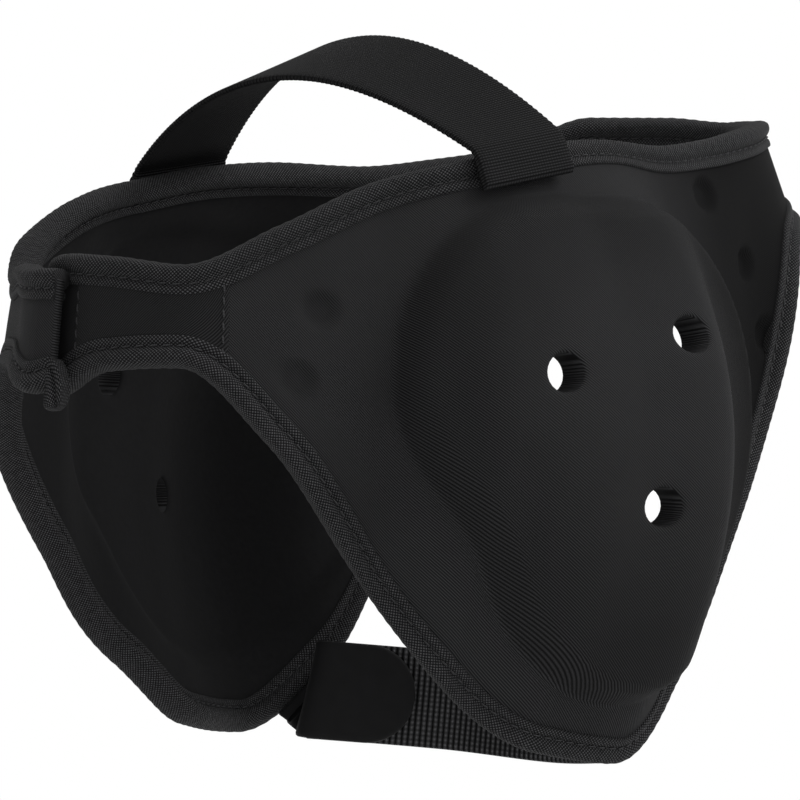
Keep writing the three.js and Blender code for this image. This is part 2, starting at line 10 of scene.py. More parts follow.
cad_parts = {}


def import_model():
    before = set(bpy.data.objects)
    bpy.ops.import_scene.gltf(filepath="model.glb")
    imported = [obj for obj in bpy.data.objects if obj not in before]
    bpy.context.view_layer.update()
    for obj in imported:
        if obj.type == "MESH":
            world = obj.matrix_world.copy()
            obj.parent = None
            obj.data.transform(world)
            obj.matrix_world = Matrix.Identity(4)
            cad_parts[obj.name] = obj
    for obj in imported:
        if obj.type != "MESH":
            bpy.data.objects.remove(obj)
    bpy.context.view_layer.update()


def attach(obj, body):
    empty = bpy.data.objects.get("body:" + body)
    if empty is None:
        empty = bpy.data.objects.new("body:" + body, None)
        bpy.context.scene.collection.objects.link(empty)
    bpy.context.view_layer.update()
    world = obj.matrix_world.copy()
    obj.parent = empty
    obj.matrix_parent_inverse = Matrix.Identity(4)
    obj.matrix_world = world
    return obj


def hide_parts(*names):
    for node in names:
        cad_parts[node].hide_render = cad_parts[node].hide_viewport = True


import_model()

MM = 0.001
RIGHT, LEFT = -1, 1

# Driving sizes of the part, in millimetres
HALF_LOOP = 272
LOBE_DROP = 150
LOBE_BOW = 22
WALL = 4
PRESSED_WALL = 2.8
GAP = 0.3
DOME_RADIUS = 66
DOME_STEP = 7
DOME_STEP_WIDTH = 7
DOME_CROWN = 4
DOME_FILL = 0.55
DOME_ALONG = 0.491
DOME_DROP = -0.435
# The dome's reach in eight directions, from forward round by the top, as shares of DOME_RADIUS
DOME_REACH = (0.90, 0.87, 0.74, 0.84, 0.80, 0.78, 1.11, 0.92)
HOLE_RADIUS = 4.7
DIMPLE_RADIUS = 5.3
BINDING_WIDTH = 5
BINDING_SIDE = 1.7
BINDING_ROLL = 2
BINDING_GAP = 0.6
EDGE_GAP = 0.5
BINDING_HEM = 1
LAP_INNER = 27
LAP_OUTER = 5
LAP_GAP = 0.8
LAP_LOWER = 4
LAP_BLEND = 26
STRAP_WIDTH = 30
STRAP_THICKNESS = 1.6
STRAP_RISE = 22.7
STRAP_HEM = 8
STRAP_SWEEP = 10.2
STRAP_TILT = math.radians(25.4)
SEAT_ALONG = {RIGHT: 0.409, LEFT: 0.429}
CHIN_ALONG = 0.595
CHIN_WIDTH = 26
CHIN_TAB_THICKNESS = 1.8
CHIN_WEB_THICKNESS = 1.6
CHIN_REACH = 34
CHIN_SAG = 4
CHIN_LEAVE = 8
CHIN_DIP = 5
CHIN_TURN = 0.12
CHIN_CHEEK_OUT = 0.1
CHIN_CHEEK_FORWARD = 0.25
CHIN_TAB_LENGTH = 41
CHIN_GAP = 0.5
CHIN_LAP = 0.68
CHIN_CLEAR = 2.5
PATCH_START = 8
PATCH_LENGTH = 36

# The band from the middle of the back (along 0) to the middle of the forehead (along 1).
# turn: degrees that the outward side has turned from straight back, right and left.
# lean, top and bottom are shares of LOBE_DROP, and bow is a share of LOBE_BOW.
BAND_COLUMNS = (
    "along", "turn_right", "turn_left", "lean_right", "lean_left",
    "top_right", "top_left", "bottom", "bow")
BAND = np.array([
    (0.000, 0, 0, 0.071, 0.071, -0.240, -0.240, -0.464, 0.04),
    (0.061, 48.7, 35.4, 0.053, 0.037, -0.246, -0.246, -0.426, 0.10),
    (0.123, 52, 37.5, 0.052, 0.038, -0.258, -0.258, -0.419, 0.25),
    (0.205, 59.8, 48.1, -0.056, 0.033, -0.190, -0.190, -0.538, 0.50),
    (0.287, 69.1, 63.8, -0.090, -0.008, -0.114, -0.114, -0.730, 0.59),
    (0.369, 84.3, 76.4, -0.048, -0.035, -0.072, -0.072, -0.901, 1.07),
    (0.451, 97.2, 83.7, 0.055, 0.026, -0.035, -0.035, -0.999, 1.01),
    (0.532, 97.7, 90.6, 0.090, 0.091, -0.017, -0.017, -1.014, 1.29),
    (0.614, 96.7, 97.6, 0.040, 0.039, -0.010, -0.010, -0.894, 0.70),
    (0.693, 99.7, 102.8, 0.010, 0.105, 0.014, 0.014, -0.655, 0.47),
    (0.768, 111.8, 113.7, 0.072, 0.153, 0.046, 0.046, -0.454, 0.12),
    (0.845, 128.2, 130, 0.291, 0.228, 0.072, 0.102, -0.143, 0.08),
    (0.923, 145.7, 148.9, 0.374, 0.246, 0.084, 0.104, -0.097, 0.03),
    (1.000, 180, 180, 0.123, 0.123, 0.094, 0.094, -0.070, 0.01),
])
# Middles of the vent holes and dimples: share along the band, and height as a share of LOBE_DROP
HOLES = ((0.401, -0.405), (0.514, -0.335), (0.482, -0.605))
DIMPLES = ((0.237, -0.321), (0.220, -0.430), (0.678, -0.082), (0.744, -0.189), (0.775, -0.304))


def smooth(x, low, high):
    t = np.clip((x - low) / (high - low), 0, 1)
    return t * t * (3 - 2 * t)


def smoother(x, low, high):
    t = np.clip((x - low) / (high - low), 0, 1)
    return t * t * t * (t * (6 * t - 15) + 10)


def column(name, even=False):
    """Monotone cubic through one column of the band's table."""
    xs = BAND[:, 0]
    ys = BAND[:, BAND_COLUMNS.index(name)]
    h = np.diff(xs)
    d = np.diff(ys) / h
    m = np.zeros(len(xs))
    m[0], m[-1] = (0, 0) if even else (d[0], d[-1])
    for i in range(1, len(xs) - 1):
        if d[i - 1] * d[i] > 0:
            w1 = 2 * h[i] + h[i - 1]
            w2 = h[i] + 2 * h[i - 1]
            m[i] = (w1 + w2) / (w1 / d[i - 1] + w2 / d[i])

    def value(x):
        i = np.clip(np.searchsorted(xs, x, side="right") - 1, 0, len(h) - 1)
        t = np.clip((x - xs[i]) / h[i], 0, 1)
        a = (1 + 2 * t) * (1 - t) ** 2
        b = t * (1 - t) ** 2
        c = t * t * (3 - 2 * t)
        e = t * t * (t - 1)
        return a * ys[i] + b * h[i] * m[i] + c * ys[i + 1] + e * h[i] * m[i + 1]

    return value


band_bottom = column("bottom", True)
band_bow = column("bow", True)
TURN = {RIGHT: column("turn_right"), LEFT: column("turn_left")}
LEAN = {RIGHT: column("lean_right"), LEFT: column("lean_left")}
TOP = {RIGHT: column("top_right", True), LEFT: column("top_left", True)}
PLAN_STEPS = 240


def plan_curve(turn):
    step = HALF_LOOP / PLAN_STEPS
    angle = np.radians(turn((np.arange(PLAN_STEPS) + 0.5) / PLAN_STEPS))
    x = np.concatenate([[0], np.cumsum(step * np.cos(angle))])
    y = np.concatenate([[0], -np.cumsum(step * np.sin(angle))])
    x -= x[-1] * np.arange(PLAN_STEPS + 1) / PLAN_STEPS
    return x, y


PLAN = {side: plan_curve(TURN[side]) for side in (RIGHT, LEFT)}
DEPTH = -(PLAN[RIGHT][1][-1] + PLAN[LEFT][1][-1]) / 2


def by_side(side, functions, along):
    return np.where(side == RIGHT, functions[RIGHT](along), functions[LEFT](along))


def plan_point(side, along):
    places = np.arange(PLAN_STEPS + 1) / PLAN_STEPS
    x, y = ({s: np.interp(along, places, PLAN[s][k]) for s in PLAN} for k in (0, 1))
    for s in PLAN:
        y[s] = DEPTH / 2 - y[s] * DEPTH / PLAN[s][1][-1]
    return side * np.where(side == RIGHT, x[RIGHT], x[LEFT]), np.where(side == RIGHT, y[RIGHT], y[LEFT])


def dome_rise(along, height):
    dx = (along - DOME_ALONG) * HALF_LOOP
    dz = height - DOME_DROP * LOBE_DROP
    n = len(DOME_REACH)
    table = np.array(DOME_REACH)
    place = (np.arctan2(dz, dx) / (2 * math.pi) % 1) * n
    i = np.floor(place).astype(int)
    t = place - i
    a, b, c, d = (table[(i + k) % n] for k in (-1, 0, 1, 2))
    bend = (2 * a - 5 * b + 4 * c - d) * t * t + (3 * b - a - 3 * c + d) * t ** 3
    reach = DOME_RADIUS * 0.5 * (2 * b + (c - a) * t + bend)
    share = np.hypot(dx, dz) / reach
    step = smoother((1 - share) * reach, 0, DOME_STEP_WIDTH)
    crown = DOME_CROWN * np.clip(1 - share * share, 0, None) ** 2
    return np.where(share < 1, DOME_STEP * step + crown, 0)


def loop_place(g):
    """Arm, side and share along the band at a place g on the loop, and whether it is past the back."""
    arm = np.where(g < 0, RIGHT, LEFT)
    past = np.abs(g) > 1
    side = np.where(past, -arm, arm)
    along = np.where(past, np.abs(g) - 1, 1 - np.abs(g))
    return arm, side, along, past


def lap_share(g):
    _, _, along, past = loop_place(g)
    return 1 - smooth(np.where(past, -1, 1) * along * HALF_LOOP, 0, LAP_BLEND)


def wall_at(g):
    return WALL + (PRESSED_WALL - WALL) * lap_share(g)


def press_at(g):
    """Share of its full thickness that a binding keeps."""
    return (wall_at(g) / 2 + BINDING_GAP) / (WALL / 2 + BINDING_GAP)


# How far inside the left arm the right one lies at the lap
TUCK = PRESSED_WALL + 2 * (BINDING_GAP + BINDING_SIDE * press_at(1.0)) + LAP_GAP


def wall_point(g, height, fill=0.0):
    """Middle of the wall at a place on the loop and a height over the strap's seats.

    fill is the share of a dome's rise that is left out, 0 for the outer side.
    """
    g, height = np.broadcast_arrays(np.asarray(g, float), np.asarray(height, float))
    arm, side, along, _ = loop_place(g)
    x, y = plan_point(side, along)
    turn = np.radians(by_side(side, TURN, along))
    drop = -height / LOBE_DROP
    bow = 4 * drop * (1 - drop) * LOBE_BOW * band_bow(along)
    lean = by_side(side, LEAN, along) * LOBE_DROP * drop
    tuck = np.where(arm == LEFT, 0, -lap_share(g) * TUCK)
    rise = dome_rise(along, height) * (1 - fill)
    out = lean + bow + rise + tuck - WALL / 2
    return np.stack([x + side * np.sin(turn) * out, y + np.cos(turn) * out, height], -1)


def unit(v):
    return v / np.linalg.norm(v, axis=-1, keepdims=True)


def dot(a, b):
    return (a * b).sum(-1)


def wall_frame(g, height, fill=0.0):
    """The wall's tangents per millimetre along the band and of height, and its outward side."""
    near = 0.5
    dg = near / HALF_LOOP
    along = (wall_point(g + dg, height, fill) - wall_point(g - dg, height, fill)) / (2 * near)
    up = (wall_point(g, height + near, fill) - wall_point(g, height - near, fill)) / (2 * near)
    return along, up, unit(np.cross(along, up))


def wall_face(g, height, offset, fill=0.0):
    g, height, offset = np.broadcast_arrays(g, height, offset)
    return wall_point(g, height, fill) + wall_frame(g, height, fill)[2] * offset[..., None]


def foam_top(g):
    arm, side, along, _ = loop_place(g)
    lower = np.where(arm == LEFT, lap_share(g) * LAP_LOWER, 0)
    return by_side(side, TOP, along) * LOBE_DROP - lower - BINDING_ROLL - EDGE_GAP


def foam_bottom(g):
    return band_bottom(loop_place(g)[2]) * LOBE_DROP + BINDING_ROLL + EDGE_GAP


# Ends of the two arms on the loop
ARM_RIGHT = -1 - LAP_INNER / HALF_LOOP
ARM_LEFT = 1 + LAP_OUTER / HALF_LOOP
SEAT_OFFSET = WALL / 2 + BINDING_GAP + BINDING_HEM + GAP + STRAP_THICKNESS / 2


def seat_point(side, depth, offset=SEAT_OFFSET):
    g = side * (1 - SEAT_ALONG[side])
    return wall_face(g, foam_top(np.float64(g)) - depth, offset)


# The part's origin is at the top of the crown strap's arch.
_seat = (seat_point(RIGHT, 0) + seat_point(LEFT, 0)) / 2
CROWN_HEIGHT = _seat[2] + BINDING_ROLL + GAP + STRAP_RISE - STRAP_THICKNESS / 2
SHIFT = np.array([0, -(_seat[1] + STRAP_SWEEP), -CROWN_HEIGHT])


# Meshes

CLOTH_MAP = "fabric"


def new_object(name, points, faces, uvs, materials, face_slots=None):
    """A mesh object from points in millimetres and faces of three or more corners."""
    mesh = bpy.data.meshes.new(name)
    mesh.from_pydata(((points + SHIFT) * MM).tolist(), [], faces)
    layer = mesh.uv_layers.new(name=CLOTH_MAP)
    layer.data.foreach_set("uv", np.asarray(uvs, np.float32).ravel())
    for material in materials:
        mesh.materials.append(material)
    if face_slots is not None:
        mesh.polygons.foreach_set("material_index", np.asarray(face_slots, np.int32))
    mesh.polygons.foreach_set("use_smooth", np.ones(len(mesh.polygons), bool))
    mesh.update()
    made = bpy.data.objects.new(name, mesh)
    bpy.context.scene.collection.objects.link(made)
    return made


def tube_parts(rings, along, around):
    """Points, faces and texture coordinates of a closed tube through rings of equal count."""
    n, m, _ = rings.shape
    faces = []
    uvs = []
    for i in range(n - 1):
        for j in range(m):
            k = (j + 1) % m
            faces.append((i * m + j, i * m + k, (i + 1) * m + k, (i + 1) * m + j))
            uvs += [(along[i], around[j]), (along[i], around[j + 1])]
            uvs += [(along[i + 1], around[j + 1]), (along[i + 1], around[j])]
    faces.append(tuple(range(m - 1, -1, -1)))
    uvs += [(along[0], around[j]) for j in range(m - 1, -1, -1)]
    faces.append(tuple((n - 1) * m + j for j in range(m)))
    uvs += [(along[-1], around[j]) for j in range(m)]
    return rings.reshape(-1, 3), faces, uvs


def around_lengths(ring):
    """Distance round one ring from its first point, closed."""
    steps = np.linalg.norm(np.roll(ring, -1, 0) - ring, axis=1)
    return np.concatenate([[0], np.cumsum(steps)])


def distances(line):
    """Distance of each point of a line from its start."""
    steps = np.linalg.norm(np.diff(line, axis=0), axis=1)
    return np.concatenate([[0], np.cumsum(steps)])


def along_line(at, places, line):
    """A line of vectors, known at some places, read at others."""
    return np.stack([np.interp(at, places, line[:, k]) for k in range(3)], 1)


def face_out(points, faces, uvs):
    """Turns all faces round if they point into the body."""
    total = 0.0
    for face in faces:
        a = points[face[0]]
        for b, c in zip(face[1:], face[2:]):
            total += np.dot(a, np.cross(points[b], points[c]))
    if total >= 0:
        return faces, uvs
    turned, coordinates = [], []
    place = 0
    for face in faces:
        turned.append(tuple(reversed(face)))
        coordinates += reversed(uvs[place:place + len(face)])
        place += len(face)
    return turned, coordinates


def tube(name, rings, material):
    along, around = distances(rings.mean(1)), around_lengths(rings[len(rings) // 2])
    points, faces, uvs = tube_parts(rings, along, around)
    faces, uvs = face_out(points, faces, uvs)
    return new_object(name, points, faces, uvs, [material])


def dress(piece, slot, *nodes):
    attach(piece, "root")
    if nodes:
        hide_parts(*nodes)
    return piece


# Materials

SPECULAR = 0.04
SHEEN_ROUGHNESS = 0.5
PATCH_SCALE = 60.0
PATCHINESS = 0.35
BLUE_SHARE = 1.04
# Name of the mesh layer that holds painted shade
PAINTED_SHADE_LAYER = "shade"


def plug(tree, socket, value):
    if isinstance(value, bpy.types.NodeSocket):
        tree.links.new(value, socket)
    else:
        socket.default_value = value


def node(tree, kind, **inputs):
    made = tree.nodes.new(kind)
    for name, value in inputs.items():
        socket = made.inputs[int(name[1:])] if name[0] == "_" else made.inputs[name]
        plug(tree, socket, value)
    return made


def calc(tree, operation, *values):
    made = node(tree, "ShaderNodeMath", **{f"_{i}": v for i, v in enumerate(values)})
    made.operation = operation
    return made.outputs[0]


def wave(tree, value, pitch):
    """0 to 1 and back over each pitch."""
    turns = calc(tree, "MULTIPLY", value, 2 * math.pi / pitch)
    return calc(tree, "MULTIPLY_ADD", calc(tree, "SINE", turns), 0.5, 0.5)


def noise(tree, scale, detail):
    place = node(tree, "ShaderNodeTexCoord").outputs["Object"]
    return node(tree, "ShaderNodeTexNoise", Vector=place, Scale=scale, Detail=detail).outputs["Fac"]


def mixed(tree, kind, factor, first, second):
    made = tree.nodes.new("ShaderNodeMix")
    made.data_type = "RGBA"
    made.blend_type = kind
    for name, value in (("Factor", factor), ("A", first), ("B", second)):
        plug(tree, made.inputs[name], value)
    return made.outputs["Result"]


def grey(level):
    return (level, level, level * BLUE_SHARE, 1)


def fabric(name, dark, light, pattern, bump, distance, roughness, sheen, with_painted_shade=False):
    """Cloth whose weave, a number from 0 to 1, sets both its colour and its relief.

    A cloth with painted shade is also darkened by its mesh's shade layer, which paints shade at the dome's
    rim and towards the forehead.
    """
    material = bpy.data.materials.new(name)
    material.use_nodes = True
    tree = material.node_tree
    place = tree.nodes.new("ShaderNodeUVMap")
    place.uv_map = CLOTH_MAP
    split = node(tree, "ShaderNodeSeparateXYZ", Vector=place.outputs["UV"])
    weave = pattern(tree, split.outputs["X"], split.outputs["Y"])
    cloudy = noise(tree, PATCH_SCALE, 4.0)
    patches = calc(tree, "MULTIPLY_ADD", cloudy, PATCHINESS, 0.5 - PATCHINESS / 2)
    share = calc(tree, "MULTIPLY", weave, calc(tree, "ADD", patches, 0.5))
    colour = mixed(tree, "MIX", share, grey(dark), grey(light))
    # Painted shade: the colour is multiplied by the mesh's shade layer.
    if with_painted_shade:
        shade = tree.nodes.new("ShaderNodeAttribute")
        shade.attribute_name = PAINTED_SHADE_LAYER
        colour = mixed(tree, "MULTIPLY", 1, colour, shade.outputs["Fac"])
    relief = node(tree, "ShaderNodeBump", Height=weave, Strength=bump, Distance=distance)
    inputs = {
        "Base Color": colour,
        "Normal": relief.outputs["Normal"],
        "Roughness": roughness,
        "Specular IOR Level": SPECULAR,
        "Sheen Weight": sheen,
        "Sheen Roughness": SHEEN_ROUGHNESS,
    }
    shader = tree.nodes["Principled BSDF"]
    for socket, value in inputs.items():
        plug(tree, shader.inputs[socket], value)
    return material


KNIT_GRAIN = 900.0
RIB_BEADS = 0.6


def twill(pitch, slope, cross):
    """Diagonal lines of one pitch, broken up by a cross wave."""
    def pattern(tree, x, y):
        line = calc(tree, "MULTIPLY_ADD", y, slope, x)
        fine = wave(tree, line, pitch)
        dots = wave(tree, calc(tree, "MULTIPLY_ADD", x, -slope, y), cross)
        return calc(tree, "MULTIPLY", fine, calc(tree, "MULTIPLY_ADD", dots, 0.5, 0.5))
    return pattern


def knit(across, along):
    """Small slanted loops in offset rows."""
    def pattern(tree, x, y):
        a = wave(tree, calc(tree, "ADD", x, y), along)
        b = wave(tree, calc(tree, "SUBTRACT", x, y), across)
        grain = calc(tree, "MULTIPLY_ADD", noise(tree, KNIT_GRAIN, 2.0), 1.6, 0.1)
        return calc(tree, "MULTIPLY", calc(tree, "MULTIPLY", a, b), grain)
    return pattern


def ribs(pitch, cross):
    """Ribs across a strap, beaded by the warp."""
    def pattern(tree, x, y):
        beads = calc(tree, "MULTIPLY_ADD", wave(tree, y, cross), RIB_BEADS, 1 - RIB_BEADS)
        return calc(tree, "MULTIPLY", wave(tree, x, pitch), beads)
    return pattern


def brushed(scale):
    """Short nap without a direction."""
    def pattern(tree, x, y):
        return noise(tree, scale, 6.0)
    return pattern


# Each cloth's dark and light grey, weave, relief's strength and height in metres, roughness and sheen
TWILL = twill(0.65, 1.0, 0.45)
# The shell fabric is darkened by painted shade at the dome's rim and towards the forehead.
SHELL_FABRIC = fabric("shell fabric", 0.0026, 0.031, TWILL, 0.7, 0.00026, 0.8, 0.0, with_painted_shade=True)
PATCH_FABRIC = fabric("patch fabric", 0.0024, 0.021, TWILL, 0.9, 0.00026, 0.85, 0.015)
LINING = fabric("brushed lining", 0.004, 0.0078, brushed(700.0), 0.4, 0.0002, 0.95, 0.01)
KNIT = fabric("knit binding", 0.002, 0.062, knit(0.9, 0.9), 0.8, 0.0003, 0.8, 0.01)
ELASTIC = fabric("elastic", 0.0008, 0.017, ribs(0.75, 0.9), 0.9, 0.0003, 0.8, 0.0)
WEBBING = fabric("webbing", 0.001, 0.062, ribs(1.6, 1.3), 1.0, 0.0005, 0.75, 0.02)
TAB = fabric("smooth tab", 0.004, 0.007, brushed(300.0), 0.15, 0.0001, 0.6, 0.02)
THREAD = fabric("thread", 0.008, 0.045, ribs(0.3, 1.0), 0.3, 0.0001, 0.6, 0.02)


# Padded shell

LOOP_SAMPLES = 4001
SHELL_ROWS = 100
COLUMN_STEP = 2.2
LOBE_COLUMN_STEP = 1.25
# Shares along the band between which the columns of the shell close up over a lobe, and open again
LOBE_BEGINS = (0.14, 0.18)
LOBE_ENDS = (0.78, 0.82)
HOLE_CELLS = 3
HOLE_BLEND = 10
BLEND_START = 2
RING_STEP = 1.3
# Rings about a hole, from its rim outward: distance from the rim, and how deep the rounded edge is sunk
RIM_RINGS = ((0.0, 0.75), (0.3, 0.28), (0.85, 0.06), (1.8, 0.0), (3.0, 0.0))
DIMPLE_SINK = 1.9
DIMPLE_FLAT = 0.45
# Shares of the dome's step between which painted shade at its rim begins and ends, and how dark that
# painted shade is
PAINTED_RIM_BEGINS = (0.03, 0.3)
PAINTED_RIM_ENDS = (0.95, 1.5)
PAINTED_RIM_SHADE = 0.68
# Shares along the band over which painted shade darkens the forehead's panel, and how dark that painted
# shade is
PAINTED_FRONT_BEGINS = (0.55, 0.72)
PAINTED_FRONT_SHADE = 0.22


def shell_columns():
    """Places on the loop, closer together over the lobes."""
    fine = np.linspace(ARM_RIGHT, ARM_LEFT, LOOP_SAMPLES)
    along = loop_place(fine)[2]
    on_lobe = smooth(along, *LOBE_BEGINS) * (1 - smooth(along, *LOBE_ENDS))
    density = 1 / (COLUMN_STEP + (LOBE_COLUMN_STEP - COLUMN_STEP) * on_lobe)
    between = (density[1:] + density[:-1]) / 2
    total = np.concatenate([[0], np.cumsum(between * np.diff(fine) * HALF_LOOP)])
    count = int(round(total[-1]))
    return np.interp(np.linspace(0, total[-1], count + 1), total, fine)


def ring_cells(c):
    """Grid steps of the square ring at c cells from a hole's middle, counter-clockwise."""
    right = [(c, j) for j in range(-c, c)]
    top = [(i, c) for i in range(c, -c, -1)]
    left = [(-c, j) for j in range(c, -c, -1)]
    bottom = [(i, -c) for i in range(-c, c)]
    return right + top + left + bottom


def open_hole(places, heights, sink, middle_g, middle_z):
    """Moves grid points into round rings about a hole, and returns the hole's and its rim's grid places."""
    along, up, outward = wall_frame(middle_g, middle_z)
    e1 = unit(along)
    e2 = np.cross(outward, e1)
    plane = np.array([[dot(along, e1), dot(up, e1)], [dot(along, e2), dot(up, e2)]])
    back = np.linalg.inv(plane)
    distance = np.hypot((places - middle_g) * HALF_LOOP, heights - middle_z)
    i0, j0 = np.unravel_index(np.argmin(distance), distance.shape)
    start = math.atan2(-1, 1)
    last = len(RIM_RINGS) - 1
    rim = []
    for ring in range(1 - HOLE_CELLS, HOLE_BLEND + 1):
        cells = ring_cells(ring + HOLE_CELLS)
        extra, depth = RIM_RINGS[min(max(ring, 0), last)]
        radius = HOLE_RADIUS + extra + max(ring - last, 0) * RING_STEP
        blend = float(smooth(ring, BLEND_START, HOLE_BLEND)) if ring > 0 else 0.0
        for k, (di, dj) in enumerate(cells):
            i, j = i0 + di, j0 - dj
            actual = plane @ np.array([(places[i, j] - middle_g) * HALF_LOOP, heights[i, j] - middle_z])
            angle = start + 2 * math.pi * k / len(cells)
            round_place = radius * np.array([math.cos(angle), math.sin(angle)])
            moved = back @ ((1 - blend) * round_place + blend * actual)
            places[i, j] = middle_g + moved[0] / HALF_LOOP
            heights[i, j] = middle_z + moved[1]
            sink[i, j] = depth
            if ring == 0:
                rim.append((i, j))
    return (i0, j0), rim


def dimple_sink(places, heights):
    total = np.zeros_like(places)
    for side in (RIGHT, LEFT):
        for along, drop in DIMPLES:
            g = side * (1 - along)
            z = drop * LOBE_DROP
            r = np.hypot((places - g) * HALF_LOOP, heights - z) / DIMPLE_RADIUS
            total += DIMPLE_SINK * (1 - smooth(r, DIMPLE_FLAT, 1.0))
    return total


def painted_shell_shade(places, heights):
    """Painted shade: full on the panels and a dome's middle, darker at its rim and towards the forehead."""
    along = loop_place(places)[2]
    rise = dome_rise(along, heights) / DOME_STEP
    rim = smooth(rise, *PAINTED_RIM_BEGINS) * (1 - smooth(rise, *PAINTED_RIM_ENDS))
    front = 1 - (1 - PAINTED_FRONT_SHADE) * smooth(along, *PAINTED_FRONT_BEGINS)
    return front * (1 - (1 - PAINTED_RIM_SHADE) * rim)


def shell_grid():
    """Place and height of each grid point, how deep it is sunk, and the holes."""
    columns = shell_columns()
    share = np.linspace(0, 1, SHELL_ROWS + 1)
    top, bottom = foam_top(columns), foam_bottom(columns)
    places = np.repeat(columns[:, None], SHELL_ROWS + 1, 1)
    heights = top[:, None] + (bottom - top)[:, None] * share
    sink = np.zeros_like(places)
    holes = [
        open_hole(places, heights, sink, side * (1 - along), drop * LOBE_DROP)
        for side in (RIGHT, LEFT) for along, drop in HOLES]
    return places, heights, sink, holes


def shell_faces(n, m, holes):
    """Faces of both sides and of all edges, with each one's material: 0 the cloth, 1 the lining."""
    near = range(-HOLE_CELLS, HOLE_CELLS)
    gone = {(i + a, j + b) for (i, j), _ in holes for a in near for b in near}
    faces, slots = [], []
    back = n * m
    for i in range(n - 1):
        for j in range(m - 1):
            if (i, j) in gone:
                continue
            a, b, c, d = i * m + j, i * m + j + 1, (i + 1) * m + j + 1, (i + 1) * m + j
            faces += [(a, b, c, d), (back + d, back + c, back + b, back + a)]
            slots += [0, 1]
    border = [i * m for i in range(n)] + [(n - 1) * m + j for j in range(1, m)]
    border += [i * m + m - 1 for i in range(n - 2, -1, -1)] + list(range(m - 2, 0, -1))
    for loop in [border] + [[i * m + j for i, j in rim] for _, rim in holes]:
        for a, b in zip(loop, loop[1:] + loop[:1]):
            faces.append((a, b, back + b, back + a))
            slots.append(0)
    return faces, slots


def padded_shell():
    places, heights, sink, holes = shell_grid()
    half = wall_at(places) / 2
    outer = wall_face(places, heights, half - sink - dimple_sink(places, heights))
    inner = wall_face(places, heights, -half + sink, DOME_FILL)
    faces, slots = shell_faces(*places.shape, holes)
    used = sorted({v for face in faces for v in face})
    index = {v: k for k, v in enumerate(used)}
    faces = [tuple(index[v] for v in face) for face in faces]
    points = np.concatenate([outer.reshape(-1, 3), inner.reshape(-1, 3)])[used]
    coordinates = np.stack([places * HALF_LOOP, heights], -1).reshape(-1, 2)
    coordinates = np.tile(coordinates, (2, 1))[used]
    uvs = [coordinates[v] for face in faces for v in face]
    made = new_object("shell", points, faces, uvs, [SHELL_FABRIC, LINING], slots)
    recalculate(made)
    # Painted shade at the dome's rim and towards the forehead, kept on the mesh's points for the shell
    # fabric.
    shade = np.tile(painted_shell_shade(places, heights).ravel(), 2)[used]
    layer = made.data.attributes.new(PAINTED_SHADE_LAYER, "FLOAT", "POINT")
    layer.data.foreach_set("value", shade.astype(np.float32))
    return dress(made, "shell_fabric", "padded_shell")


def recalculate(piece):
    """Makes all faces of a closed piece point outward."""
    mesh = bmesh.new()
    mesh.from_mesh(piece.data)
    bmesh.ops.recalc_face_normals(mesh, faces=mesh.faces)
    mesh.to_mesh(piece.data)
    mesh.free()


# Bindings

EDGE_SAMPLES = 3000
BINDING_STEP = 0.6
STITCH_PITCH = 3.1
STITCH_LENGTH = 2.2
STITCH_RADIUS = 0.24
STITCH_SIDES = 6
STITCH_STEPS = 6
STITCH_BLUNT = 1.02
STITCH_SLANT = 0.12
STITCH_ARCH = 0.9
STITCH_SINK = 0.5
STITCH_MAP = 0.3
# Outer half of the section: distance in from the panel's edge, and height over the wall's face.
HALF_SECTION = (
    (BINDING_WIDTH, 0.02),
    (BINDING_WIDTH + 0.02, 0.4),
    (BINDING_WIDTH - 0.15, 0.75),
    (BINDING_WIDTH - 0.6, 0.95),
    (BINDING_WIDTH - 1.3, 0.98),
    (BINDING_WIDTH - 1.9, 0.86),
    (BINDING_WIDTH - 2.25, 0.55),
    (BINDING_WIDTH - 2.55, 0.42),
    (BINDING_WIDTH - 2.85, 0.58),
    (BINDING_WIDTH - 3.25, 1.1),
    (BINDING_WIDTH - 3.8, 1.6),
    (BINDING_WIDTH - 4.5, 1.95),
    (BINDING_WIDTH - 5.3, 2.05),
)
# The stitched groove: distance in from the panel's edge, height of its stitches, and width
GROOVE = (BINDING_WIDTH - 2.55, 0.62)
GROOVE_WIDTH = 0.5
ROLL_START = BINDING_WIDTH - 3.2
ROLL_POINTS = 5
# What each stitch pulls in or lets out, in millimetres
GROOVE_PULL = 0.16
SIDE_SWELL = 0.12
TOP_SWELL = 0.1
# Small waves along the edge: height, millimetres per radian, and phase
WAVER = ((0.10, 7.3, 0.0), (0.08, 3.1, 1.7))
WAVER_OUT = 0.5
WAVER_IN = 0.10


def edge_frame(g, edge):
    """Directions into the wall across one edge, in space and as steps of place and height."""
    dg = 1 / HALF_LOOP
    forward = unit(wall_point(g + dg, edge(g + dg)) - wall_point(g - dg, edge(g - dg)))
    along, up, outward = wall_frame(g, edge(g))
    inward = np.cross(outward, forward)
    if edge is foam_top:
        inward = -inward
    inward = unit(inward)
    aa, ab, bb = dot(along, along), dot(along, up), dot(up, up)
    ia, ib = dot(inward, along), dot(inward, up)
    det = aa * bb - ab * ab
    per_along = (ia * bb - ib * ab) / det / HALF_LOOP
    per_up = (ib * aa - ia * ab) / det
    return forward, inward, outward, per_along, per_up


def edge_point(g, edge, depth, offset, frame_at=None):
    """A point over the wall near one edge: depth in from the edge, offset out from the wall's middle."""
    _, inward, outward, per_along, per_up = frame_at or edge_frame(g, edge)
    inside = np.maximum(depth, 0)
    base = wall_face(g + per_along * inside, edge(g) + per_up * inside, offset)
    beyond = inward * np.broadcast_to(np.minimum(depth, 0), g.shape)[..., None]
    flat = wall_point(g, edge(g)) + outward * np.broadcast_to(offset, g.shape)[..., None]
    return np.where(np.broadcast_to(depth < 0, g.shape)[..., None], flat + beyond, base)


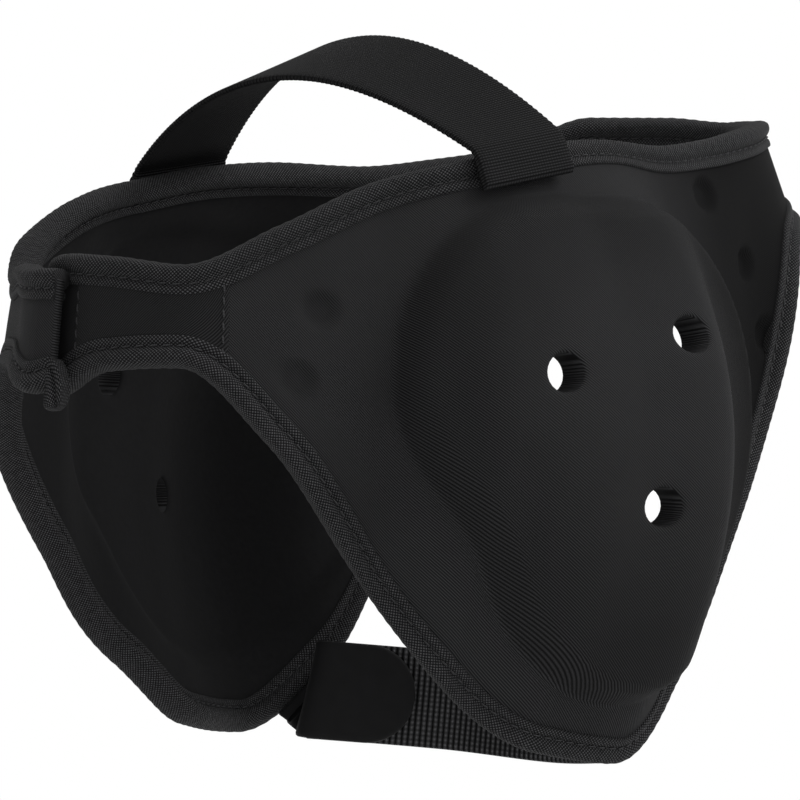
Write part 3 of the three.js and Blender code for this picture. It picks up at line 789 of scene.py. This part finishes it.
def edge_samples(edge):
    """Places on the loop at even distances along one edge, with the distance of each."""
    fine = np.linspace(ARM_RIGHT, ARM_LEFT, EDGE_SAMPLES)
    total = distances(wall_point(fine, edge(fine)))
    distance = np.arange(0, total[-1] + BINDING_STEP / 2, BINDING_STEP)
    distance = np.minimum(distance * (total[-1] / distance[-1]), total[-1])
    return np.interp(distance, total, fine), distance


def binding_rings(edge, g, distance):
    """Sections of a binding, each pulled in by its stitch and wavering a little."""
    frame_at = edge_frame(g, edge)
    half = wall_at(g) / 2
    pull = 0.5 - 0.5 * np.cos(2 * math.pi * distance / STITCH_PITCH)
    loose = sum(size * np.sin(distance / length + phase) for size, length, phase in WAVER)

    def side_row(depth, rise, face):
        in_groove = math.exp(-((depth - GROOVE[0]) / GROOVE_WIDTH) ** 2)
        on_roll = float(smooth(np.float64(-depth), -ROLL_START, 0))
        swell = (SIDE_SWELL * on_roll - GROOVE_PULL * in_groove) * pull
        height = rise + swell + WAVER_OUT * loose * on_roll
        reach = depth + (WAVER_IN * loose if depth > BINDING_WIDTH - 1 else 0)
        return edge_point(g, edge, reach * np.ones_like(g), face * (half + height), frame_at)

    rows = [side_row(depth, rise, 1) for depth, rise in HALF_SECTION]
    top_depth, top_rise = HALF_SECTION[-1]
    for k in range(1, 2 * ROLL_POINTS):
        angle = math.pi / 2 - math.pi * k / (2 * ROLL_POINTS)
        reach = BINDING_ROLL + EDGE_GAP + top_depth + SIDE_SWELL * pull
        offset = (half + top_rise + TOP_SWELL * pull) * math.sin(angle)
        rows.append(edge_point(g, edge, top_depth - reach * math.cos(angle), offset, frame_at))
    rows += [side_row(depth, rise, -1) for depth, rise in reversed(HALF_SECTION)]
    return np.stack(rows, 1)


TAIL_PIVOT = 1.0
TAIL_TURN = math.radians(84)
TAIL_BACK = 5.0
TAIL_DROP = 4.5
TAIL_RINGS = 22
TAIL_ROUND = 0.45
TAIL_TIP = 1.02
TAIL_THIN = 0.35


def with_tail(rings):
    """Adds the binding's loose end, which swings down in an arc past the left arm's edge."""
    g = np.float64(ARM_LEFT)
    forward, inward, *_ = edge_frame(g, foam_bottom)
    pivot = wall_point(g, foam_bottom(g)) - inward * (BINDING_ROLL + EDGE_GAP + TAIL_PIVOT)
    last = rings[-1]
    arms = last - pivot
    flat = dot(arms, inward)[:, None] * inward + dot(arms, forward)[:, None] * forward
    middle_arm = flat.mean(0)
    rest = arms - flat
    tail = []
    for k in range(1, TAIL_RINGS + 1):
        share = k / TAIL_RINGS
        cos, sin = math.cos(TAIL_TURN * share), math.sin(TAIL_TURN * share)
        narrow = math.sqrt(1 - max((share - TAIL_ROUND) / (TAIL_TIP - TAIL_ROUND), 0) ** 2)
        kept = middle_arm + (flat - middle_arm) * narrow
        turned = dot(kept, inward)[:, None] * (cos * inward + sin * forward)
        turned = turned + dot(kept, forward)[:, None] * (cos * forward - sin * inward)
        hang = smooth(np.float64(share), 0, 1)
        slide = -TAIL_BACK * hang * forward - TAIL_DROP * hang * inward
        tail.append(pivot + turned + slide + rest * (TAIL_THIN + (1 - TAIL_THIN) * narrow))
    return np.concatenate([rings, np.array(tail)])


def stitch_row(g, edge, distance, face):
    """Middles, directions and outward sides of the stitches along one groove."""
    depth, rise = GROOVE
    at = (np.arange(int(distance[-1] / STITCH_PITCH)) + 0.5) * STITCH_PITCH
    places = np.interp(at, distance, g)
    frame_at = edge_frame(places, edge)
    offset = face * (wall_at(places) / 2 + rise)
    middles = edge_point(places, edge, depth * np.ones_like(places), offset, frame_at)
    return middles, frame_at[0], face * frame_at[2]


def stitches(name, middles, directions, normals, slot):
    """One joined mesh of small sewn stitches, each a flattened arc that dips at its ends."""
    sides, steps = STITCH_SIDES, STITCH_STEPS
    t = np.linspace(-1, 1, steps + 1)
    width = STITCH_RADIUS * np.sqrt(np.clip(STITCH_BLUNT - t ** 4, 0, 1))
    lift = STITCH_RADIUS * (STITCH_ARCH * (1 - t * t) - STITCH_SINK)
    slant = unit(directions + STITCH_SLANT * unit(np.cross(normals, directions)))
    across = unit(np.cross(normals, slant))
    points, faces, uvs = [], [], []
    for middle, along, side, normal in zip(middles, slant, across, normals):
        base = len(points)
        for k in range(steps + 1):
            centre = middle + along * (t[k] * STITCH_LENGTH / 2) + normal * lift[k]
            for s in range(sides):
                a = 2 * math.pi * s / sides
                points.append(centre + (side * math.cos(a) + normal * math.sin(a)) * width[k])
        for k in range(steps):
            here = base + k * sides
            there = here + sides
            for s in range(sides):
                q = (s + 1) % sides
                faces.append((here + s, here + q, there + q, there + s))
                corners = ((k, s), (k, s + 1), (k + 1, s + 1), (k + 1, s))
                uvs += [(a * STITCH_MAP, b * STITCH_MAP) for a, b in corners]
        faces.append(tuple(base + s for s in range(sides - 1, -1, -1)))
        faces.append(tuple(base + steps * sides + s for s in range(sides)))
        uvs += [(0, 0)] * (2 * sides)
    made = new_object(name, np.array(points), faces, uvs, [THREAD])
    recalculate(made)
    return dress(made, slot)


def joined(rows):
    """Several rows of points as one, with the directions that belong to them."""
    return [np.concatenate(part) for part in zip(*rows)]


def binding(name, edge, node_name):
    g, distance = edge_samples(edge)
    rings = binding_rings(edge, g, distance)
    if edge is foam_bottom:
        rings = with_tail(rings)
    made = tube(name, rings, KNIT)
    dress(made, "knit_binding", node_name)
    rows = joined(stitch_row(g, edge, distance, face) for face in (1, -1))
    stitches(name + "_stitches", *rows, "knit_binding")
    return made


# Straps

# Points round each edge of a strap's outline, and across its faces
ROUND_POINTS = 5
CROWN_POINTS = 14
CROWN_SAMPLES = 480
CROWN_STEP = 0.42
BEND_ROUNDS = 6
HEM_POINTS = 10
# The hem's ends, measured from the foam's edge and from the strap's end, and how far it stands out
HEM_START = 1.5
HEM_STOP = 1
HEM_OUT = 0.7
# The folded hem: how much thicker it is, and where the fold begins and ends past STRAP_HEM
HEM_SWELL = 0.75
HEM_FOLD = (-1.5, 2.5)
END_ROUND = 1.3
END_BLUNT = 0.05
BEAD_HEIGHT = 0.16
BEAD_PITCH = 1.7


def strap_ring(width, thickness, across_points):
    """A flat strap's outline: places across its width, and heights over its middle."""
    half_w, half_t = width / 2, thickness / 2
    flat = half_w - half_t
    angles = np.linspace(-math.pi / 2, math.pi / 2, ROUND_POINTS)
    right = np.stack([flat + half_t * np.cos(angles), half_t * np.sin(angles)], 1)
    over = np.linspace(flat, -flat, across_points)[1:-1]
    top = np.stack([over, np.full_like(over, half_t)], 1)
    return np.concatenate([right, top, -right, -top])


def sweep(middles, across, outward, outlines):
    """Rings of a strap: its outline at each middle point."""
    return middles[:, None] + across[:, None] * outlines[..., :1] + outward[:, None] * outlines[..., 1:]


def seat_across(side):
    reach = STRAP_WIDTH / 2 / HALF_LOOP
    g = side * (1 - SEAT_ALONG[side] + np.array([reach, -reach]))
    ends = wall_point(g, foam_top(g))
    return unit(ends[1] - ends[0])


def crown_path():
    """The crown strap's middle line, its width direction and its outward side."""
    seats = {side: seat_point(side, 0) for side in (RIGHT, LEFT)}
    t = np.linspace(-1, 1, CROWN_SAMPLES)
    side = np.where(t < 0, RIGHT, LEFT)
    a = np.abs(t)
    seat = np.where((side == RIGHT)[:, None], seats[RIGHT], seats[LEFT])
    between = (seats[RIGHT] + seats[LEFT]) / 2 * np.array([0, 1, 1])
    arch = (1 - t * t)[:, None]
    points = between + (seat - between) * a[:, None] + np.array([0, 0, BINDING_ROLL + GAP])
    points = points + arch * np.array([0, STRAP_SWEEP, STRAP_RISE])
    crown = np.array([0, -math.cos(STRAP_TILT), math.sin(STRAP_TILT)])
    ends = np.where((side == RIGHT)[:, None], seat_across(RIGHT), seat_across(LEFT))
    across = unit(ends * (1 - arch) + crown * arch)
    forward = np.gradient(points, axis=0)
    outward = unit(np.cross(forward, across))
    outward *= np.sign(outward[:, 2:])
    return points, across, outward


def hem_path(side):
    """The sewn end, down the outside of the binding: its middles, width directions and outward sides."""
    g = np.float64(side * (1 - SEAT_ALONG[side]))
    depths = np.linspace(HEM_START, STRAP_HEM - HEM_STOP, HEM_POINTS)
    middles = [seat_point(side, depth, SEAT_OFFSET + HEM_OUT) for depth in depths]
    outward = wall_frame(g, foam_top(g))[2]
    return np.array(middles), *(np.tile(way, (HEM_POINTS, 1)) for way in (seat_across(side), outward))


def crown_strap():
    parts = ([part[::-1] for part in hem_path(RIGHT)], crown_path(), hem_path(LEFT))
    middles, widths, outs = joined(parts)
    for _ in range(BEND_ROUNDS):
        outs[1:-1] = unit(outs[:-2] + outs[1:-1] + outs[2:])
        middles[1:-1] = (middles[:-2] + 2 * middles[1:-1] + middles[2:]) / 4
    total = distances(middles)
    even = np.arange(0, total[-1], CROWN_STEP)
    middles, widths, outs = (along_line(even, total, part) for part in (middles, widths, outs))
    widths = unit(widths)
    outs = unit(outs - widths * dot(outs, widths)[:, None])
    ring = strap_ring(STRAP_WIDTH, STRAP_THICKNESS, CROWN_POINTS)
    outlines = np.repeat(ring[None], len(even), 0)
    bead = BEAD_HEIGHT * np.sin(2 * math.pi * even / BEAD_PITCH)
    edge = np.abs(ring[:, 0]) > STRAP_WIDTH / 2 - STRAP_THICKNESS
    outlines[:, :, 0] += np.sign(ring[:, 0]) * edge * bead[:, None]
    to_end = np.minimum(even, even[-1] - even)
    thick = 1 + HEM_SWELL * (1 - smooth(to_end - STRAP_HEM, *HEM_FOLD))
    round_end = np.sqrt(np.clip(1 - np.clip(1 - to_end / END_ROUND, 0, 1) ** 2, END_BLUNT, 1))
    outlines[:, :, 1] *= (thick * round_end)[:, None]
    made = tube("crown_strap_elastic", sweep(middles, widths, outs, outlines), ELASTIC)
    return dress(made, "elastic", "crown_strap")


# Chin strap

SPLINE_STEPS = 200
CHIN_POINTS = 20
CHIN_LEAST_WIDTH = 1.05
TAB_STEP = 0.5
TAB_TIP = 0.003
TAB_SEAM = 9.0
# The seam's first and last stitch, in from the tab's edges, and how far it stands out
SEAM_FIRST = 2
SEAM_LAST = 1
SEAM_OUT = 0.1
WEB_STEP = 0.4
WEB_RIB_PITCH = 1.6
WEB_RIB_HEIGHT = 0.16


def chin_frame(side):
    """Places points beyond and aside of the lobe's edge, and gives the strap's width direction there."""
    g = np.float64(side * (1 - CHIN_ALONG))
    _, inward, outward, _, _ = edge_frame(g, foam_bottom)
    out = -inward
    across = unit(np.cross(outward, out))
    if across[2] < 0:
        across = -across
    edge = wall_point(g, foam_bottom(g))
    return (lambda beyond, aside: edge + out * beyond + outward * aside), across


def spline(points):
    """Centripetal Catmull-Rom curve through points, sampled."""
    points = np.array(points)
    padded = np.concatenate([[2 * points[0] - points[1]], points, [2 * points[-1] - points[-2]]])
    t = np.linspace(0, 1, SPLINE_STEPS, endpoint=False)[:, None]
    pieces = []
    for p0, p1, p2, p3 in zip(padded, padded[1:], padded[2:], padded[3:]):
        d0, d1, d2 = (math.sqrt(np.linalg.norm(b - a)) for a, b in ((p0, p1), (p1, p2), (p2, p3)))
        t1 = ((p1 - p0) / d0 - (p2 - p0) / (d0 + d1) + (p2 - p1) / d1) * d1
        t2 = ((p2 - p1) / d1 - (p3 - p1) / (d1 + d2) + (p3 - p2) / d2) * d1
        square = -3 * p1 + 3 * p2 - 2 * t1 - t2
        cube = 2 * p1 - 2 * p2 + t1 + t2
        pieces.append(p1 + t1 * t + square * t ** 2 + cube * t ** 3)
    return np.concatenate([*pieces, points[-1:]])


CHIN_ENDS = (chin_frame(LEFT), chin_frame(RIGHT))


def chin_bow():
    (left, _), (right, _) = CHIN_ENDS
    roll = BINDING_ROLL + 3 * GAP
    flat = WALL / 2 + BINDING_GAP + BINDING_SIDE + CHIN_CLEAR + CHIN_WEB_THICKNESS
    inside = -CHIN_LEAVE * 1.5
    tab_end = [left(roll, 0), left(roll + CHIN_LEAVE / 2, -CHIN_LEAVE / 4), left(roll, inside)]
    web_end = [right(-CHIN_LEAVE, -flat), right(-CHIN_LEAVE / 4, -flat), right(0, inside)]
    for end in (tab_end, web_end):
        end[2] = end[2] - np.array([0, 0, CHIN_DIP])
    front = (tab_end[2] + web_end[2]) / 2 + np.array([0, -CHIN_REACH, -CHIN_SAG])

    def cheek(end):
        return (end + front) / 2 + np.array([end[0] * CHIN_CHEEK_OUT, -CHIN_REACH * CHIN_CHEEK_FORWARD, 0])

    return spline([*tab_end, cheek(tab_end[2]), front, cheek(web_end[2]), *reversed(web_end)])


CHIN_LINE = chin_bow()
CHIN_AT = distances(CHIN_LINE)
CHIN_FORWARD = np.gradient(CHIN_LINE, CHIN_AT, axis=0)
CHIN_LENGTH = CHIN_AT[-1]


def chin_rings(start, end, offset, width_at, thickness, step, relief=None):
    """Sections of one chin piece, with each one's place, middle, width direction and outward side."""
    at = np.linspace(start, end, int((end - start) / step) + 1)
    forward = unit(along_line(at, CHIN_AT, CHIN_FORWARD))
    u = at / CHIN_LENGTH
    upright = smooth(np.minimum(u, 1 - u), 0, CHIN_TURN)[:, None]
    ends = np.where((u < 0.5)[:, None], CHIN_ENDS[0][1], CHIN_ENDS[1][1])
    across = unit(ends * (1 - upright) + np.array([0, 0, 1]) * upright)
    outward = unit(np.cross(forward, across))
    across = unit(np.cross(outward, forward))
    middles = along_line(at, CHIN_AT, CHIN_LINE) + outward * offset
    outlines = np.array([
        strap_ring(max(width_at(place), thickness * CHIN_LEAST_WIDTH), thickness, CHIN_POINTS)
        for place in at])
    if relief is not None:
        outlines[:, :, 1] *= relief(at)[:, None]
    return sweep(middles, across, outward, outlines), at, middles, across, outward


def tab_width(at):
    left = max(CHIN_TAB_LENGTH - at, 0)
    round_part = CHIN_WIDTH / 2
    if left >= round_part:
        return CHIN_WIDTH
    return CHIN_WIDTH * math.sqrt(max(1 - (1 - left / round_part) ** 2, TAB_TIP))


def chin_tab():
    rings, at, middles, across, outward = chin_rings(
        0, CHIN_TAB_LENGTH, (CHIN_TAB_THICKNESS + CHIN_GAP) / 2, tab_width, CHIN_TAB_THICKNESS, TAB_STEP)
    made = tube("chin_tab_cloth", rings, TAB)
    k = int(np.searchsorted(at, TAB_SEAM))
    places = np.arange(SEAM_FIRST - CHIN_WIDTH / 2, CHIN_WIDTH / 2 - SEAM_LAST, STITCH_PITCH)
    seam = middles[k] + across[k] * places[:, None] + outward[k] * (CHIN_TAB_THICKNESS / 2 + SEAM_OUT)
    ways = (np.tile(way[k], (len(places), 1)) for way in (across, outward))
    stitches("chin_tab_stitches", seam, *ways, "smooth_tab")
    return dress(made, "smooth_tab", "chin_tab")


def web_width(at):
    return CHIN_WIDTH


def web_relief(at):
    return 1 + WEB_RIB_HEIGHT * np.sin(2 * math.pi * at / WEB_RIB_PITCH)


def chin_webbing():
    start = CHIN_TAB_LENGTH * (1 - CHIN_LAP)
    offset = -(CHIN_WEB_THICKNESS + CHIN_GAP) / 2
    rings, *_ = chin_rings(
        start, CHIN_LENGTH, offset, web_width, CHIN_WEB_THICKNESS, WEB_STEP, web_relief)
    made = tube("chin_webbing_band", rings, WEBBING)
    return dress(made, "webbing", "chin_webbing")


# Closure patch on the right arm

PATCH_COLUMNS = 60
PATCH_ROWS = 16
PATCH_UNDER = 0.3
PATCH_SINK = 0.3
PATCH_LIFT = 0.1
PATCH_PILE = 0.45
# Distances from the patch's ends between which its pile rises
PATCH_ROUND = (-0.4, 1.2)
PATCH_SEAM_IN = 1.2
PATCH_SEAM_PITCH = 3.0
PATCH_SEAM_RISE = 0.62


def closure_patch():
    start = -1 + PATCH_START / HALF_LOOP
    end = start + PATCH_LENGTH / HALF_LOOP
    g = np.linspace(start, end, PATCH_COLUMNS)
    inset = BINDING_WIDTH - PATCH_UNDER
    share = np.linspace(0, 1, PATCH_ROWS)
    top, bottom = foam_top(g) - inset, foam_bottom(g) + inset
    heights = top[:, None] + (bottom - top)[:, None] * share
    places = np.repeat(g[:, None], len(share), 1)
    rim = np.minimum(np.abs(places - start), np.abs(places - end)) * HALF_LOOP
    half = wall_at(places) / 2
    outer = wall_face(places, heights, half + PATCH_LIFT + PATCH_PILE * smooth(rim, *PATCH_ROUND))
    inner = wall_face(places, heights, half - PATCH_SINK)
    made = tube("patch", np.concatenate([outer, inner[:, ::-1]], 1), PATCH_FABRIC)
    dress(made, "loop_fabric", "closure_patch")
    rows = []
    for place in (start + PATCH_SEAM_IN / HALF_LOOP, end - PATCH_SEAM_IN / HALF_LOOP):
        low = foam_bottom(np.float64(place)) + inset + 1
        z = np.arange(low, foam_top(np.float64(place)) - inset, PATCH_SEAM_PITCH)
        gs = np.full_like(z, place)
        _, up, outward = wall_frame(gs, z)
        rows.append((wall_face(gs, z, wall_at(gs) / 2 + PATCH_SEAM_RISE), unit(up), outward))
    stitches("patch_stitches", *joined(rows), "loop_fabric")
    return made


# Stage, light and camera

FLOOR_GREY = (0.86, 0.86, 0.86, 1)
FLOOR_RADIUS = 2.1
FLOOR_SIDES = 96
FLOOR_HEIGHT = -0.32
WHITE = (1, 1, 1, 1)
# Soft square lights, in metres and watts: name, place, side and power
LIGHTS = (("key", (-0.9, -0.7, 1.1), 1.2, 30), ("fill", (-1.2, 0.6, 0.5), 1.5, 5))


def floor():
    material = bpy.data.materials.new("pale floor")
    material.use_nodes = True
    shader = material.node_tree.nodes["Principled BSDF"]
    shader.inputs["Base Color"].default_value = FLOOR_GREY
    shader.inputs["Roughness"].default_value = 0.9
    bpy.ops.mesh.primitive_circle_add(
        vertices=FLOOR_SIDES, radius=FLOOR_RADIUS, fill_type="NGON", location=(0, 0, FLOOR_HEIGHT))
    made = bpy.context.object
    made.name = "floor"
    made.data.materials.append(material)


def world():
    bpy.context.scene.view_settings.view_transform = "Standard"
    made = bpy.data.worlds.new("studio")
    bpy.context.scene.world = made
    made.use_nodes = True
    background = made.node_tree.nodes["Background"]
    background.inputs["Color"].default_value = WHITE
    background.inputs["Strength"].default_value = 1.0


def soft_light(name, position, size, power):
    light = bpy.data.lights.new(name, "AREA")
    light.shape = "SQUARE"
    light.size = size
    light.energy = power
    made = bpy.data.objects.new(name, light)
    bpy.context.scene.collection.objects.link(made)
    made.location = position
    direction = Vector(CAMERA_TARGET) - Vector(position)
    made.rotation_euler = direction.to_track_quat("-Z", "Y").to_euler()


# The camera, fitted to the photo's outlines: degrees, metres and pixels of an 800-pixel picture
AIM_Y = -3.74
CAMERA = {"azimuth": 230.8, "elevation": -1.54, "roll": 2.02, "distance": 1.1074, "focal_px": 4402.5}
CAMERA_TARGET = tuple((np.array([0, AIM_Y, -LOBE_DROP / 2]) + SHIFT) * MM)
CAMERA_MIDDLE_PX = (420.4, 439.0)
PICTURE_PX = 800
SENSOR = 36
CAMERA_CLIP = (0.05, 20)


def camera():
    data = bpy.data.cameras.new("camera")
    data.sensor_width = SENSOR
    data.lens = CAMERA["focal_px"] / PICTURE_PX * SENSOR
    data.shift_x = (PICTURE_PX / 2 - CAMERA_MIDDLE_PX[0]) / PICTURE_PX
    data.shift_y = (CAMERA_MIDDLE_PX[1] - PICTURE_PX / 2) / PICTURE_PX
    made = bpy.data.objects.new("camera", data)
    bpy.context.scene.collection.objects.link(made)
    a, e, r = (math.radians(CAMERA[key]) for key in ("azimuth", "elevation", "roll"))
    back = Vector((math.sin(a) * math.cos(e), -math.cos(a) * math.cos(e), math.sin(e)))
    right = Vector((math.cos(a), math.sin(a), 0))
    up = back.cross(right)
    right_rolled = right * math.cos(r) + up * math.sin(r)
    up_rolled = up * math.cos(r) - right * math.sin(r)
    turn = Matrix((right_rolled, up_rolled, back)).transposed()
    place = Vector(CAMERA_TARGET) + back * CAMERA["distance"]
    made.matrix_world = Matrix.Translation(place) @ turn.to_4x4()
    data.clip_start, data.clip_end = CAMERA_CLIP
    bpy.context.scene.camera = made


camera()
world()
floor()
for light_row in LIGHTS:
    soft_light(*light_row)

padded_shell()
binding("top_bound_edge", foam_top, "top_binding")
binding("bottom_bound_edge", foam_bottom, "bottom_binding")
crown_strap()
chin_tab()
chin_webbing()
closure_patch()
